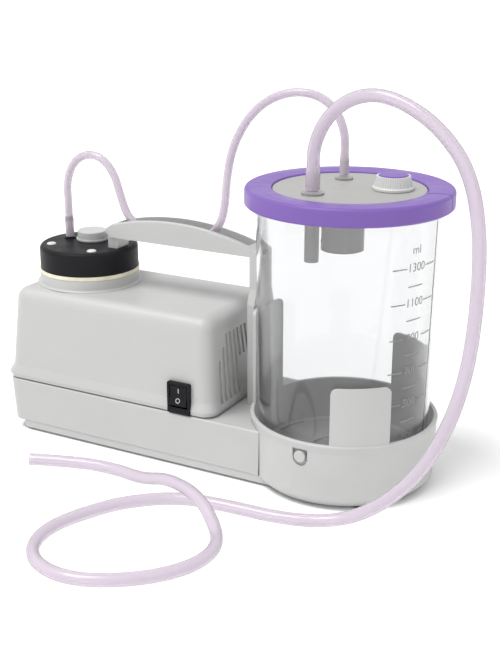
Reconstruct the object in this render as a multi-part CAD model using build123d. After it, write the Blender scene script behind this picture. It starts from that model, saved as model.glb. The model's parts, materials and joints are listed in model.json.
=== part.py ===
from build123d import *
import os
from math import atan2, cos, degrees, pi, radians, sin, tan

# Portable electric suction pump, in millimetres. +X runs from the motor end to the jar,
# +Z is up, and the origin is on the floor under the middle of the machine.
# The user stands on the -Y side, where the rocker switch is.

# ---- Driving dimensions -------------------------------------------------------------

WALL = 2.5                      # moulded shells of the base and the motor cover
FEET_HEIGHT = 2.0
FIT = 0.1                       # gap between two pieces of one body that nest

JAR_X = 89.0                    # axis of the jar and its cup
PUMP_X = -109.5                 # axis of the diaphragm pump
SHAFT_Z = 60.0                  # height of the motor shaft

BASE_LEFT = -151.5
BASE_HALF_WIDTH = 47.5
TRAY_BOTTOM = 7.0
TRAY_TOP = 38.0
POST_JOINT = 37.0               # where the cover's posts stand on the tray's

COVER_BOTTOM = 39.0
COVER_TOP = 104.5
COVER_FOOTPRINT = (-151.0, 16.0, 46.0)      # left, right, half width at the bottom
COVER_ROOF = (-144.0, 13.0, 43.0)           # the same at the top
COVER_ROUND = 9.0

CUP_RADIUS = 60.0
CUP_INNER = 58.0
CUP_FLOOR = 14.0
CUP_RIM = 44.0
STAVE_SPAN = 36.0               # degrees of the cup's edge that each stave takes
STAVES = [(34, 81), (151, 82), (270, 107)]  # middle in degrees from -Y, and height of the top

JAR_BOTTOM_RADIUS = 54.6
JAR_TOP_RADIUS = 57.7
JAR_WALL = 2.0
JAR_RIM = 184.0
LID_TOP = 190.0
COLLAR_RADIUS = 64.5
COLLAR_BOTTOM = 180.2
COLLAR_TOP = 191.5
COLLAR_OPENING = 47.7

HEAD_RADIUS = 34.3
FLANGE_TOP = 112.5
HEAD_BOTTOM = 115.0
HEAD_TOP = 131.3
HEAD_SCREWS = [(26 * cos(radians(turn)), 26 * sin(radians(turn))) for turn in (40, 130, 220, 310)]

HANDLE_HALF_WIDTH = 8.0
HANDLE_BOTTOM = 139.3
HANDLE_FLOOR = 141.4            # floor of the groove that holds the vacuum tube
HANDLE_LEFT = -88.5
GRIP_SCREW_SEAT = 142.5
COLUMN_LEFT = 22.8
COLUMN_RIGHT = 28.9

PATIENT_PORT = (77.5, -28.0)
VACUUM_PORT = (75.4, 21.8)
SPOUT = (114.0, 8.5)
PORT_TOP = 204.0
BARB_X = -128.0
BARB_Y = 3.0
BARB_TOP = 147.0
KNOB_AT = (-112.0, 8.0)
GRIP_SCREWS = [(-84.6, -3.2), (-84.6, 4.8)]

SHAFT_RADIUS = 3.0
CRANK_THROW = 1.5               # the pump's stroke is twice this
HOSE_DIAMETER = 8.0
LINK_DIAMETER = 5.5

# The suction hose: up from the patient port, over to the right, down in front of the cup,
# along the floor, round one loose loop and over itself to its cut end.
HOSE_ROUTE = [
    (77.5, -28, 204), (77.5, -28, 219), (85, -28, 235.5), (99, -28.5, 247.5), (116.5, -30, 252),
    (137, -32, 247.5), (159, -35.5, 235), (177, -39, 214.5), (187, -46, 184), (190.5, -54, 146),
    (189.5, -61, 108), (182, -67, 74), (166, -70.5, 42), (141, -71, 16), (117, -75, 4),
    (88, -86, 4), (50, -87, 4), (18, -92, 4), (-8, -114, 4), (-20, -137, 4),
    (-27, -157, 4), (-26, -177, 4), (-15.5, -193.5, 4), (2, -202, 4), (23, -201.5, 4),
    (43, -191, 4), (60, -176, 4), (71, -157, 4), (72, -136, 4), (61, -116.5, 4),
    (40, -100.5, 13.5), (10, -88.5, 13.5), (-15, -81, 4), (-38, -77, 4), (-68, -80.5, 4),
    (-97.5, -92, 4),
]

# The vacuum tube: from the pump head's barb over and down into the groove of the handle,
# along the groove, and up and over to the vacuum port on the lid.
LINK_ROUTE = [
    (-128, 3, 147), (-128, 3, 158), (-128.3, 3, 171.5), (-122.8, 3, 185.5), (-111, 3, 193.2),
    (-97, 3, 191.6), (-87.6, 3, 181), (-83.5, 3, 168), (-78.5, 2.5, 154.5), (-69, 2, 146.5),
    (-56, 1.5, 144.4), (-40, 0, 144.3), (-24, 1, 144.4), (-12, 1.8, 147.5), (-3.5, 2.5, 156),
    (-0.5, 3, 168.5), (0.5, 3.5, 185), (3, 5, 203), (9, 8.5, 219.5), (20, 12, 234),
    (36, 16, 242.5), (54, 19.5, 243), (68, 21.5, 235), (75.4, 21.8, 220), (75.4, 21.8, 204),
]


# ---- Shared helpers -----------------------------------------------------------------

def turned(outline, rounds=None, at=(0, 0)):
    """A solid of revolution about a vertical axis, from (radius, height) points.

    rounds gives the fillet radius of some of those corners."""
    face = make_face(Polyline(*outline, close=True))
    for corner, radius in (rounds or {}).items():
        vertex = face.vertices().sort_by_distance(Vector(*corner))[0]
        face = fillet(vertex, radius)
    return Pos(at[0], at[1], 0) * revolve(Rot(90, 0, 0) * face, Axis.Z)


def disc(radius, z0, z1, at=(0, 0)):
    """An upright cylinder between two heights."""
    return Pos(at[0], at[1], (z0 + z1) / 2) * Cylinder(radius, z1 - z0)


def ring(outer, inner, z0, z1, at=(0, 0)):
    """An upright ring between two heights."""
    return disc(outer, z0, z1, at) - disc(inner, z0 - 1, z1 + 1, at)


def lying(radius, x0, x1, y=0.0, z=SHAFT_Z):
    """A cylinder along X between two stations."""
    return Pos((x0 + x1) / 2, y, z) * Rot(0, 90, 0) * Cylinder(radius, x1 - x0)


def across(radius, y0, y1, x, z):
    """A cylinder along Y between two stations."""
    return Pos(x, (y0 + y1) / 2, z) * Rot(90, 0, 0) * Cylinder(radius, y1 - y0)


def block(x0, x1, y0, y1, z0, z1):
    """A box between two corners."""
    middle = Pos((x0 + x1) / 2, (y0 + y1) / 2, (z0 + z1) / 2)
    return middle * Box(x1 - x0, y1 - y0, z1 - z0)


def footprint(left, right, half_width, z, corner):
    """A rounded rectangle lying at height z."""
    return Pos((left + right) / 2, 0, z) * RectangleRounded(right - left, 2 * half_width, corner)


def tapered(bottom, top, z0, z1, corner):
    """A block with draft: each end is (left, right, half width)."""
    return loft([footprint(*bottom, z0, corner), footprint(*top, z1, corner)], ruled=True)


def inset(outline, amount):
    """A (left, right, half width) outline moved inwards."""
    left, right, half_width = outline
    return (left + amount, right - amount, half_width - amount)


def sector(outer, inner, z0, z1, centre, span, at):
    """An arc-shaped plate about a vertical axis.

    centre and span are in degrees, turned from -Y towards +X."""
    half = radians(span / 2)
    middle = radians(centre)
    reach = outer * 1.6
    corners = [(0, 0)]
    for angle in (middle - half, middle, middle + half):
        corners.append((reach * sin(angle), -reach * cos(angle)))
    wedge = extrude(Pos(0, 0, z0) * make_face(Polyline(*corners, close=True)), z1 - z0)
    return Pos(at[0], at[1], 0) * (wedge & ring(outer, inner, z0, z1))


def screw(at, z_head, z_tip, head_radius, shank_radius, head_height):
    """A screw pointing up from below when z_tip is above z_head, and down otherwise."""
    step = head_height if z_tip > z_head else -head_height
    head = disc(head_radius, min(z_head, z_head + step), max(z_head, z_head + step), at)
    shank = disc(shank_radius, min(z_head + step, z_tip), max(z_head + step, z_tip), at)
    return head + shank


def corner_radii(points):
    """The radius of each corner of a cord: 0.45 of the shorter run over tan(half the turn)."""
    radii = []
    for before, corner, after in zip(points, points[1:], points[2:]):
        run_in = corner - before
        run_out = after - corner
        turn = radians(run_in.get_angle(run_out))
        radii.append(0.45 * min(run_in.length, run_out.length) / tan(turn / 2))
    return radii


def cord(name, route, diameter):
    """A tube of straight runs and tangent arcs along a route."""
    points = [Vector(*point) for point in route]
    radii = corner_radii(points)
    path = FilletPolyline(*points, radius=radii)
    start = Plane(origin=points[0], z_dir=points[1] - points[0])
    tube = sweep(start * Circle(diameter / 2), path=path)
    swept = pi * diameter ** 2 / 4 * path.length
    print(name, "length", round(path.length, 1), "volume ratio", round(tube.volume / swept, 4))
    print("   radii", [round(radius, 1) for radius in radii])
    return tube


parts = {}


# ---- Base ---------------------------------------------------------------------------

PLATE_OUTLINE = (-143.5, JAR_X, 46.3)
CUP_SKIRT = [(0, 2), (55.0, 2), (59.3, 6.3), (59.3, 7), (0, 7)]
HOUSING_SCREWS = [(-137, 39.8), (-137, -39.8), (-30, 39.8), (-30, -39.8)]
CUP_SCREWS = [(JAR_X + 36, 0), (JAR_X - 18, 31), (JAR_X - 18, -31)]
FOOT_PLACES = [(-118, 34), (-118, -34), (20, 34), (20, -34), (119, 38), (119, -38)]


def bottom_plate():
    """The floor of the whole machine: a shallow dish under the tray and the cup."""
    plate = extrude(footprint(*PLATE_OUTLINE, FEET_HEIGHT, 9), TRAY_BOTTOM - FEET_HEIGHT)
    plate += turned(CUP_SKIRT, at=(JAR_X, 0))
    left, right, half_width = inset(PLATE_OUTLINE, WALL)
    plate -= extrude(footprint(left, right, half_width, 4.5, 7), 5)
    plate -= disc(53.5, 4.5, 9, (JAR_X, 0))
    for place in HOUSING_SCREWS:
        plate += disc(5.0, 4.4, TRAY_BOTTOM, place)
    for place in HOUSING_SCREWS + CUP_SCREWS:
        plate -= disc(2.0, 0, 9, place)
        plate -= disc(4.2, 0, 3.6, place)
    return plate


def rubber_feet():
    """Six round feet glued under the bottom plate."""
    foot = turned([(0, 0), (6.6, 0), (7, 0.6), (7, FEET_HEIGHT), (0, FEET_HEIGHT)])
    return Compound([Pos(x, y, 0) * foot for x, y in FOOT_PLACES])


def base_tray():
    """The grey lower moulding: side walls, the platform beside the cup, screw posts."""
    bottom = (BASE_LEFT + 1.5, JAR_X, BASE_HALF_WIDTH - 0.7)
    top = (BASE_LEFT, JAR_X, BASE_HALF_WIDTH)
    tray = tapered(bottom, top, TRAY_BOTTOM, TRAY_TOP, 9)
    tray = fillet(tray.edges().group_by(Axis.Z)[-1], 1.0)
    tray = fillet(tray.edges().group_by(Axis.Z)[0], 0.7)
    tray -= tapered(inset(bottom, WALL), inset(top, WALL), TRAY_BOTTOM - 0.01, TRAY_TOP - WALL, 7)
    tray -= extrude(footprint(-146.5, 11.5, 41.5, TRAY_TOP - 4, 6), 6)
    tray -= disc(CUP_RADIUS + FIT, 0, 60, (JAR_X, 0))
    for place in HOUSING_SCREWS:
        tray += disc(5.6, TRAY_BOTTOM, POST_JOINT, place)
        tray -= disc(2.0, 0, 50, place)
        tray -= disc(4.5 + FIT, POST_JOINT, 50, place)
    return tray


def housing_screws():
    """Four long screws up through the plate and the tray into the cover's posts."""
    return Compound([screw(place, 2.2, 52, 3.8, 1.6, 1.4) for place in HOUSING_SCREWS])


def cup_screws():
    """Three short screws up through the plate into the cup's floor."""
    return Compound([screw(place, 2.2, 12.5, 3.8, 1.6, 1.4) for place in CUP_SCREWS])


def jar_cup():
    """The round holder for the jar, with its floor, its lipped rim and three staves."""
    outline = [(0, 11.5), (57.3, 11.5), (57.3, TRAY_BOTTOM), (59.4, TRAY_BOTTOM), (CUP_RADIUS, 38.5),
               (60.9, CUP_RIM), (CUP_INNER, CUP_RIM), (CUP_INNER, CUP_FLOOR), (0, CUP_FLOOR)]
    axis = (JAR_X, 0)
    cup = turned(outline, {(60.9, CUP_RIM): 1.0, (CUP_INNER, CUP_RIM): 0.6}, axis)
    for centre, top in STAVES:
        cup += stave(centre, top)
    for centre in (8, 128, 248):
        cup -= sector(53.5, 50.5, 10, 16, centre, 24, axis)
    cup -= disc(22, CUP_FLOOR - 0.8, 16, axis)
    for place in CUP_SCREWS:
        cup += disc(4.5, 4.5, 12, place)
        cup -= disc(1.6, 0, 12.6, place)
    return cup - button_slot()


def stave(centre, top):
    """One upright plate on the cup's edge, with rounded top corners."""
    plate = sector(CUP_RADIUS, CUP_INNER, 40, top, centre, STAVE_SPAN, (JAR_X, 0))
    for side in (-1, 1):
        azimuth = centre + side * STAVE_SPAN / 2
        angle = radians(azimuth)
        edge_at = (JAR_X + CUP_RADIUS * sin(angle), -CUP_RADIUS * cos(angle))
        plate -= stave_corner(edge_at, azimuth, side, top)
    return plate


def stave_corner(edge_at, azimuth, side, top):
    """The cutter that rounds one top corner of a stave, seen along the radius."""
    radius = 4.0
    square = Pos(-side * radius / 2, radius / 2 - radius) * Rectangle(radius, radius)
    quarter = square - Pos(-side * radius, -radius) * Circle(radius)
    cutter = extrude(quarter, 8, both=True)
    stand = Location((edge_at[0], edge_at[1], top), (0, 0, 0))
    return stand * Rot(0, 0, azimuth) * Rot(90, 0, 0) * cutter


def button_slot():
    """The U-shaped opening of the release button in the cup's front."""
    slot = across(5.0, -66, -56, JAR_X - 2, 33) + block(JAR_X - 7, JAR_X + 3, -66, -56, 33, 39.2)
    return slot


def release_button():
    """The sprung button that lets the jar go; its flange stays behind the cup's wall."""
    peg = across(3.8, -60.9, -56.8, JAR_X - 2, 34.2)
    peg = fillet(peg.edges().group_by(Axis.Y)[0], 0.6)
    flange = block(JAR_X - 8.5, JAR_X + 4.5, -57.0, -56.4, 30, 39.5)
    return peg + flange


parts["bottom_plate"] = bottom_plate()
parts["rubber_feet"] = rubber_feet()
parts["base_tray"] = base_tray()
parts["housing_screws"] = housing_screws()
parts["cup_screws"] = cup_screws()
parts["jar_cup"] = jar_cup()
parts["release_button"] = release_button()


# ---- Motor cover and its fittings ---------------------------------------------------

SWITCH = (-16.0, 1.0, 38.7, 60.5)           # left, right, bottom, top of the switch's frame
INLET = (-128.0, -100.0, 50.0, 70.0)        # the same for the mains inlet, in the back
FUSE_X = -84.0
VENT_TOP = 90.0
VENT_FOOT = 44.5
VENT_DEPTH = 1.5                # grooves in the wall, each with a narrow slit at its bottom


def cover_shell():
    """The drafted hood with its flared lower lip, hollow inside."""
    hood = tapered(COVER_FOOTPRINT, COVER_ROOF, COVER_BOTTOM, COVER_TOP, 9)
    hood = fillet(hood.edges().group_by(Axis.Z)[-1], COVER_ROUND)
    lip_low = (-151.6, 16.4, 46.6)
    lip_wide = (-153.5, 17.0, 47.2)
    lip_high = (-150.2, 15.6, 45.6)
    hood += tapered(lip_low, lip_wide, COVER_BOTTOM, COVER_BOTTOM + 3, 9)
    hood += tapered(lip_wide, lip_high, COVER_BOTTOM + 3, COVER_BOTTOM + 9, 9)
    room = tapered(inset(COVER_FOOTPRINT, WALL), inset(COVER_ROOF, WALL), COVER_BOTTOM - 1,
                   COVER_TOP - WALL, 7)
    room = fillet(room.edges().group_by(Axis.Z)[-1], COVER_ROUND - WALL)
    return hood - room


def vent_y(index, z):
    """Where the middle of a vent groove is at height z; the grooves spread downwards."""
    drop = (VENT_TOP - z) / (VENT_TOP - VENT_FOOT)
    return -21.5 + 2.3 * drop + (4.9 + 1.2 * drop) * index


def vent_cut(index, z_foot, z_top, share, depth):
    """A leaning cut in the cover's drafted right end; share is its part of the pitch."""
    draft = atan2(COVER_FOOTPRINT[1] - COVER_ROOF[1], COVER_TOP - COVER_BOTTOM)
    outwards = Vector(cos(draft), 0, sin(draft))
    face = Plane(origin=(COVER_FOOTPRINT[1], 0, COVER_BOTTOM), x_dir=(0, 1, 0), z_dir=outwards)
    corners = []
    for z, side in ((z_foot, -1), (z_foot, 1), (z_top, 1), (z_top, -1)):
        pitch = vent_y(1, z) - vent_y(0, z)
        corners.append((vent_y(index, z) + side * share * pitch / 2, z - COVER_BOTTOM))
    bottom = make_face(face.offset(-depth) * Polyline(*corners, close=True))
    return extrude(bottom, depth + 4, dir=outwards)


def vent_cuts():
    """The fan of vents: grooves that get shorter towards both edges and over the middle panel."""
    cuts = []
    for index in range(-2, 9):
        z_top = VENT_TOP - 8 * max(0, -index, index - 6)
        z_foot = 70.0 if 3 <= index <= 6 else VENT_FOOT
        cuts.append(vent_cut(index, z_foot, z_top, 0.55, VENT_DEPTH))
        cuts.append(vent_cut(index, z_foot + 2, z_top - 2, 0.14, WALL + 1.5))
    return cuts


def motor_cover():
    """The cover with its openings and the posts that its screws enter."""
    cover = cover_shell()
    for cut in vent_cuts():
        cover -= cut
    for place in HOUSING_SCREWS:
        cover += disc(4.5, POST_JOINT, 60, place) - disc(1.6, 30, 52, place)
    left, right, bottom, top = SWITCH
    cover -= block(left + 0.3, right - 0.3, -50, -40, bottom - 2, top - 0.8)
    cover -= block(left - FIT, right + FIT, -50, -45.9, bottom - 2, top + FIT)
    left, right, bottom, top = INLET
    cover -= block(left, right, 40, 50, bottom, top)
    cover -= across(6.2, 38, 50, FUSE_X, SHAFT_Z)
    cover -= disc(27, COVER_TOP - 6, COVER_TOP + 4, (PUMP_X, 0))
    return cover


def mains_inlet():
    """A recessed inlet for a detachable lead, with its three pins."""
    left, right, bottom, top = INLET
    body = block(left + FIT, right - FIT, 30, 46.0, bottom + FIT, top - FIT)
    body += block(left - 2.5, right + 2.5, 45.8, 47.2, bottom - 2.5, top + 2.5)
    body -= block(left + 2.5, right - 2.5, 33, 50, bottom + 3, top - 3)
    return body


def inlet_pins():
    """The inlet's three flat pins."""
    left, right, bottom, top = INLET
    middle_x = (left + right) / 2
    middle_z = (bottom + top) / 2
    places = [(middle_x - 6.5, middle_z - 1.6), (middle_x, middle_z + 2.2), (middle_x + 6.5, middle_z - 1.6)]
    return Compound([block(x - 1, x + 1, 33, 43, z - 2, z + 2) for x, z in places])


def fuse_holder():
    """A round fuse carrier with a slotted cap beside the inlet."""
    body = across(6.0, 31, 46, FUSE_X, SHAFT_Z) + across(8.0, 45.6, 48.0, FUSE_X, SHAFT_Z)
    return body - block(FUSE_X - 5, FUSE_X + 5, 47, 50, SHAFT_Z - 0.7, SHAFT_Z + 0.7)


parts["motor_cover"] = motor_cover()
parts["mains_inlet"] = mains_inlet()
parts["inlet_pins"] = inlet_pins()
parts["fuse_holder"] = fuse_holder()


# ---- Rocker switch ------------------------------------------------------------------

ROCKER_PIVOT = (-43.5, 50.7)                # Y and Z of the rocker's pivot line
ROCKER_TILT = 8.0                           # each way from the middle


def switch_frame():
    """The switch's body: a shallow frame outside and a box behind it."""
    left, right, bottom, top = SWITCH
    frame = block(left, right, -48.2, -46.0, bottom, top)
    frame = fillet(frame.edges().filter_by(Axis.Y), 1.5)
    frame += block(left + 0.4, right - 0.4, -46.0, -31, bottom + 3.2, top - 1.0)
    frame -= block(left + 1.6, right - 1.6, -52, -38, bottom + 4.2, top - 2.0)
    return frame


def rocker():
    """The rocker, with its face bent in the middle, tilted to its off position."""
    left, right, _, _ = SWITCH
    pivot_y, pivot_z = ROCKER_PIVOT
    half = 6.6
    profile = [(-49.0, pivot_z - half), (-47.6, pivot_z), (-49.0, pivot_z + half),
               (-43.5, pivot_z + half), (-41.0, pivot_z), (-43.5, pivot_z - half)]
    face = make_face(Plane.YZ.offset(left + 2.2) * Polyline(*profile, close=True))
    key = extrude(face, right - left - 4.4, dir=(1, 0, 0))
    turn = Pos(0, pivot_y, pivot_z) * Rot(-ROCKER_TILT, 0, 0) * Pos(0, -pivot_y, -pivot_z)
    return turn * key


parts["switch_frame"] = switch_frame()
parts["rocker"] = rocker()


# ---- Pump head ----------------------------------------------------------------------

PUMP = (PUMP_X, 0)
INTAKE = (PUMP_X - 12, 0)
EXHAUST = (PUMP_X + 12, 0)
VALVE_PLATE = (118.5, 121.5)


def pump_flange():
    """The grey ring between the cover's roof and the pump head."""
    outline = [(22, COVER_TOP), (36.8, COVER_TOP), (36.8, COVER_TOP + 0.3), (35.1, COVER_TOP + 0.3),
               (34.8, FLANGE_TOP), (22, FLANGE_TOP)]
    flange = turned(outline, {(35.1, COVER_TOP + 0.3): 1.6, (34.8, FLANGE_TOP): 0.8}, PUMP)
    flange += ring(26.5, 22, 98, COVER_TOP + 1, PUMP)
    for x, y in HEAD_SCREWS:
        flange -= disc(1.5, 106, 120, (PUMP_X + x, y))
    return flange


def diaphragm():
    """The rubber disc that pumps; its pale edge shows all round."""
    sheet = disc(34.9, FLANGE_TOP, HEAD_BOTTOM, PUMP) - disc(2.1, 110, 120, PUMP)
    for x, y in HEAD_SCREWS:
        sheet -= disc(1.8, 110, 120, (PUMP_X + x, y))
    return sheet


def pump_head():
    """The black head: chamber below, two valve pockets, regulator bore and barb bore."""
    outline = [(0, HEAD_BOTTOM), (HEAD_RADIUS, HEAD_BOTTOM), (HEAD_RADIUS, HEAD_TOP), (0, HEAD_TOP)]
    head = turned(outline, {(HEAD_RADIUS, HEAD_TOP): 3.0}, PUMP)
    head -= disc(23, HEAD_BOTTOM - 1, VALVE_PLATE[1], PUMP)
    head -= disc(6, VALVE_PLATE[1] - 1, 127, INTAKE)
    head -= disc(6, VALVE_PLATE[1] - 1, 127, EXHAUST)
    head -= disc(2.0, 126, 135, (BARB_X, BARB_Y))
    head -= disc(4.0, 127, 135, (BARB_X, BARB_Y))
    head -= disc(2.55, 124, 135, KNOB_AT)
    head -= block(PUMP_X + 10, PUMP_X + 14, 5, 40, 122.5, 126)
    for place in GRIP_SCREWS:
        head -= disc(1.5, 122, 140, place)
    for x, y in HEAD_SCREWS:
        place = (PUMP_X + x, y)
        head -= disc(1.8, 110, 140, place)
        head -= disc(3.4, HEAD_TOP - 3, 140, place)
    return head


def head_screws():
    """Four long screws through the head and the diaphragm into the flange."""
    places = [(PUMP_X + x, y) for x, y in HEAD_SCREWS]
    return Compound([screw(place, 130.2, 107, 3.2, 1.45, 1.6) for place in places])


def screw_caps():
    """White caps pressed over the heads of the four screws."""
    cap = turned([(0, 130.2), (3.3, 130.2), (3.3, 131.5), (2.7, 132.1), (0, 132.4)])
    return Compound([Pos(PUMP_X + x, y, 0) * cap for x, y in HEAD_SCREWS])


def valve_plate():
    """The disc that carries both flap valves, with a hole under each pocket."""
    plate = disc(22.9, *VALVE_PLATE, PUMP)
    for centre in (INTAKE, EXHAUST):
        for x, y in ((-2.5, 0), (2.5, 0), (0, 2.5), (0, -2.5)):
            plate -= disc(0.9, 118, 122, (centre[0] + x, centre[1] + y))
    return plate


def chamber_ring():
    """A ring that holds the valve plate up against the head."""
    return ring(22.9, 19.5, HEAD_BOTTOM, VALVE_PLATE[0], PUMP)


def head_barb():
    """The hose barb on the pump head, rising from a small collar."""
    outline = [(1.3, 127), (3.9, 127), (3.9, 132.2), (2.3, 132.2), (2.3, 144.2), (2.7, 144.2),
               (2.1, BARB_TOP), (1.3, BARB_TOP)]
    return turned(outline, at=(BARB_X, BARB_Y))


parts["pump_flange"] = pump_flange()
parts["diaphragm"] = diaphragm()
parts["pump_head"] = pump_head()
parts["head_screws"] = head_screws()
parts["screw_caps"] = screw_caps()
parts["valve_plate"] = valve_plate()
parts["chamber_ring"] = chamber_ring()
parts["intake_flap"] = disc(4.6, 118.0, 118.5, INTAKE)
parts["exhaust_flap"] = disc(4.6, 121.5, 122.0, EXHAUST)
parts["head_barb"] = head_barb()


# ---- Vacuum regulator ---------------------------------------------------------------

def regulator_knob():
    """The ribbed knob that bleeds air to set the vacuum."""
    outline = [(2.5, 131.6), (11.4, 131.6), (11.4, 132.8), (10.6, 132.8), (10.3, 138.2), (0, 138.2),
               (0, 135.2), (2.5, 135.2)]
    knob = turned(outline, {(10.3, 138.2): 0.8}, KNOB_AT)
    for index in range(48):
        angle = 2 * pi * index / 48
        at = (KNOB_AT[0] + 10.75 * cos(angle), KNOB_AT[1] + 10.75 * sin(angle))
        knob -= disc(0.42, 132.8, 137.2, at)
    return knob


def regulator_needle():
    """The needle under the knob, with its tip in the head's bore."""
    outline = [(0, 124.6), (1.0, 125.6), (2.5, 128), (2.5, 135.2), (0, 135.2)]
    return turned(outline, at=KNOB_AT)


parts["regulator_knob"] = regulator_knob()
parts["regulator_needle"] = regulator_needle()


# ---- Handle -------------------------------------------------------------------------

def handle_bar():
    """The arched grip, a channel that is open on top."""
    low = HANDLE_BOTTOM
    outline = Polyline((COLUMN_RIGHT, 144), (COLUMN_RIGHT, low), (HANDLE_LEFT + 3, low),
                       (HANDLE_LEFT, low + 3), (HANDLE_LEFT, low + 6), (HANDLE_LEFT + 5, low + 9.6))
    crown = ThreePointArc((HANDLE_LEFT + 5, low + 9.6), (-30, 155.2), (COLUMN_RIGHT, 144))
    side = make_face([outline, crown])
    bar = extrude(Plane.XZ * side, HANDLE_HALF_WIDTH, both=True)
    bar = fillet(bar.faces().filter_by(Axis.Y).edges().filter_by(GeomType.CIRCLE), 1.2)
    bar -= block(HANDLE_LEFT + 8.5, COLUMN_LEFT - 1, -5.8, 5.8, HANDLE_FLOOR, 160)
    for place in GRIP_SCREWS:
        bar -= disc(1.5, 130, 160, place)
        bar -= disc(3.1, GRIP_SCREW_SEAT, 160, place)
    return bar


def handle():
    """The grip and the column that carries its right end, in one moulding."""
    narrow = HANDLE_HALF_WIDTH
    outline = [(-11, TRAY_TOP), (11, TRAY_TOP), (11, 108), (narrow, 118), (narrow, 142),
               (-narrow, 142), (-narrow, 118), (-11, 108)]
    front = make_face(Plane.YZ.offset(COLUMN_LEFT) * Polyline(*outline, close=True))
    column = extrude(front, COLUMN_RIGHT - COLUMN_LEFT, dir=(1, 0, 0))
    left_face = column.faces().sort_by(Axis.X)[0]
    column = fillet(left_face.edges().filter_by(lambda edge: abs((edge % 0.5).Z) > 0.9), 1.8)
    grip = handle_bar() + column
    grip -= disc(61.1, 30, CUP_RIM + 0.5, (JAR_X, 0))
    return grip - disc(CUP_RADIUS + FIT, 30, 108, (JAR_X, 0))


def handle_foot():
    """The block that ties the grip's left end to the pump head."""
    foot = block(-89.0, -81.0, -6.0, 8.0, HEAD_TOP, HANDLE_BOTTOM)
    foot = fillet(foot.edges().filter_by(Axis.Z), 0.8)
    for place in GRIP_SCREWS:
        foot -= disc(1.5, 130, 142, place)
    return foot


def grip_screws():
    """Two screws down through the grip and its foot into the head."""
    return Compound([screw(place, GRIP_SCREW_SEAT + 1.6, 123, 2.8, 1.4, 1.6) for place in GRIP_SCREWS])


parts["handle"] = handle()
parts["handle_foot"] = handle_foot()
parts["grip_screws"] = grip_screws()


# ---- Motor and crank ----------------------------------------------------------------

CORE = (-78.0, -48.0)                       # stations of the laminated core along X
FRONT_BRACKET = (-92.5, -90.0)
REAR_BRACKET = (-36.0, -33.5)
MOTOR_BOLTS = [(25, 35), (25, 80), (-25, 35), (-25, 80)]       # Y and Z
BEARING_RADIUS = 8.0


def stator_core():
    """The laminated core: a bore for the rotor above a window for the coil."""
    core = block(*CORE, -29, 29, 18, 88)
    core -= lying(15.5, CORE[0] - 1, CORE[1] + 1)
    core -= block(CORE[0] - 1, CORE[1] + 1, -15, 15, 26, 40)
    for y, z in MOTOR_BOLTS:
        core -= lying(2.1, CORE[0] - 1, CORE[1] + 1, y, z)
    return core


def stator_coil():
    """The winding on the core's lower leg."""
    coil = block(CORE[0] - 7, CORE[1] + 7, -14.5, 14.5, 11, 39.5)
    coil = fillet(coil.edges().filter_by(Axis.Y), 4)
    return coil - block(CORE[0] - FIT, CORE[1] + FIT, -20, 20, 17.9, 26.1)


def bracket(stations, foot_direction):
    """A motor end plate with a bearing seat and a foot bent out at its bottom."""
    x0, x1 = stations
    plate = block(x0, x1, -31, 31, 10, 88)
    plate -= block(x0 - 1, x1 + 1, -16, 16, 9, 42)
    plate -= lying(BEARING_RADIUS, x0 - 1, x1 + 1)
    for y, z in MOTOR_BOLTS:
        plate -= lying(2.1, x0 - 1, x1 + 1, y, z)
    reach = 11
    foot_x0 = x0 - reach if foot_direction < 0 else x1
    foot_x1 = x0 if foot_direction < 0 else x1 + reach
    for side in (-1, 1):
        low, high = sorted((side * 17, side * 31))
        foot = block(foot_x0, foot_x1, low, high, 10, 12.5)
        plate += foot - disc(2.2, 8, 14, (foot_x0 + reach / 2, side * 24))
    return plate


def mount_places():
    """Where the four rubber mounts stand under the motor's feet."""
    front = FRONT_BRACKET[0] - 5.5
    rear = REAR_BRACKET[1] + 5.5
    return [(x, y) for x in (front, rear) for y in (-24, 24)]


def motor_mounts():
    """Four rubber mounts on the bottom plate."""
    mount = turned([(2.2, 4.5), (6, 4.5), (4.8, 7.2), (6, 10), (2.2, 10)])
    return Compound([Pos(x, y, 0) * mount for x, y in mount_places()])


def mount_screws():
    """A screw down through each foot and its rubber mount."""
    return Compound([screw(place, 14.2, 4.5, 4.0, 2.0, 1.7) for place in mount_places()])


def motor_bolts():
    """Four bolts along the motor with a nut at each far end."""
    bolts = []
    for y, z in MOTOR_BOLTS:
        bolt = lying(2.0, FRONT_BRACKET[0] - 3, REAR_BRACKET[1] + 3, y, z)
        bolt += lying(3.8, FRONT_BRACKET[0] - 3, FRONT_BRACKET[0], y, z)
        bolt += lying(3.8, REAR_BRACKET[1], REAR_BRACKET[1] + 3, y, z)
        bolts.append(bolt)
    return Compound(bolts)


def motor_spacers():
    """Tubes on the bolts that hold the end plates off the core."""
    tubes = []
    for x0, x1 in ((FRONT_BRACKET[1], CORE[0]), (CORE[1], REAR_BRACKET[0])):
        for y, z in MOTOR_BOLTS:
            tubes.append(lying(3.6, x0, x1, y, z) - lying(2.1, x0 - 1, x1 + 1, y, z))
    return Compound(tubes)


def bearing(stations):
    """A ball bearing in an end plate, a little wider than the plate."""
    x0, x1 = stations
    return lying(BEARING_RADIUS, x0 - 1, x1 + 1) - lying(SHAFT_RADIUS + 0.04, x0 - 3, x1 + 3)


def fan():
    """The cooling fan: a hub with seven pitched blades."""
    wheel = lying(7, -8, 4)
    for index in range(7):
        blade = Pos(0, 0, 14.5) * Rot(0, 0, 32) * Box(12, 1.6, 17)
        wheel += Pos(-2, 0, SHAFT_Z) * Rot(360 / 7 * index, 0, 0) * blade
    return wheel - lying(SHAFT_RADIUS, -20, 20)


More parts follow.
